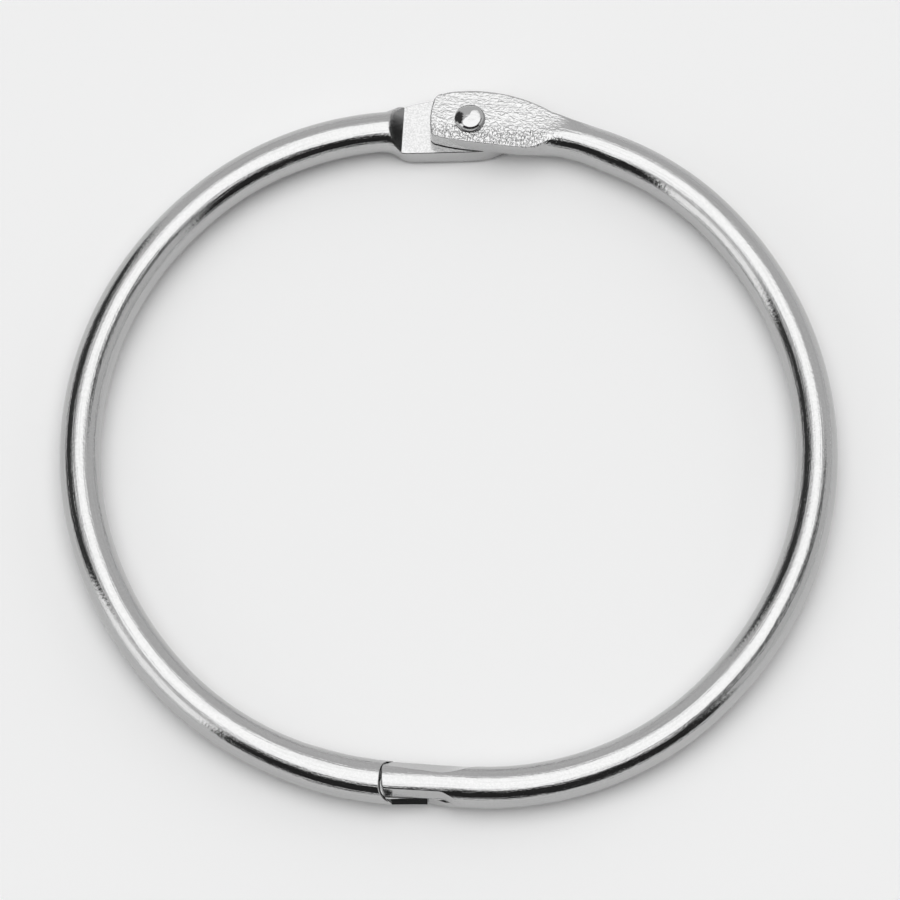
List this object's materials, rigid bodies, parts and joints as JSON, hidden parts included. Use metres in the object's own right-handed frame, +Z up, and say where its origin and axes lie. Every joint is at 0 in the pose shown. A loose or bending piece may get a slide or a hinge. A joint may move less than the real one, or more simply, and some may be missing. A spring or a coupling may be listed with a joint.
{
  "type": "hinged binder ring",
  "caption": "Loose-leaf binder ring of nickel-plated round wire: hinged half rings with flattened, riveted tangs that close in a half-lap joint.",
  "frame": {"origin": "below the middle of the closed loop, on the surface that the ring lies on", "axes": "+Z up, along the loop's axis and the rivet's; the rivet is on the +Y side, the closure on the -Y side, and the half ring with the upper tang on the +X side"},
  "size_m": [0.0567, 0.0563, 0.0036],
  "materials": {
    "nickel_wire": "bright nickel plate over drawn steel wire",
    "nickel_rivet": "bright nickel plate, polished dome"
  },
  "bodies": {
    "rear_half": {"rear_half_ring": "nickel_wire", "rivet": "nickel_rivet"},
    "front_half": {"front_half_ring": "nickel_wire"}
  },
  "joints": [
    {"name": "ring_hinge", "type": "hinge", "parent": "rear_half", "child": "front_half", "pos_m": [0, 0.02625, 0], "axis": [0, 0, 1], "range_deg": [0, 145]}
  ]
}
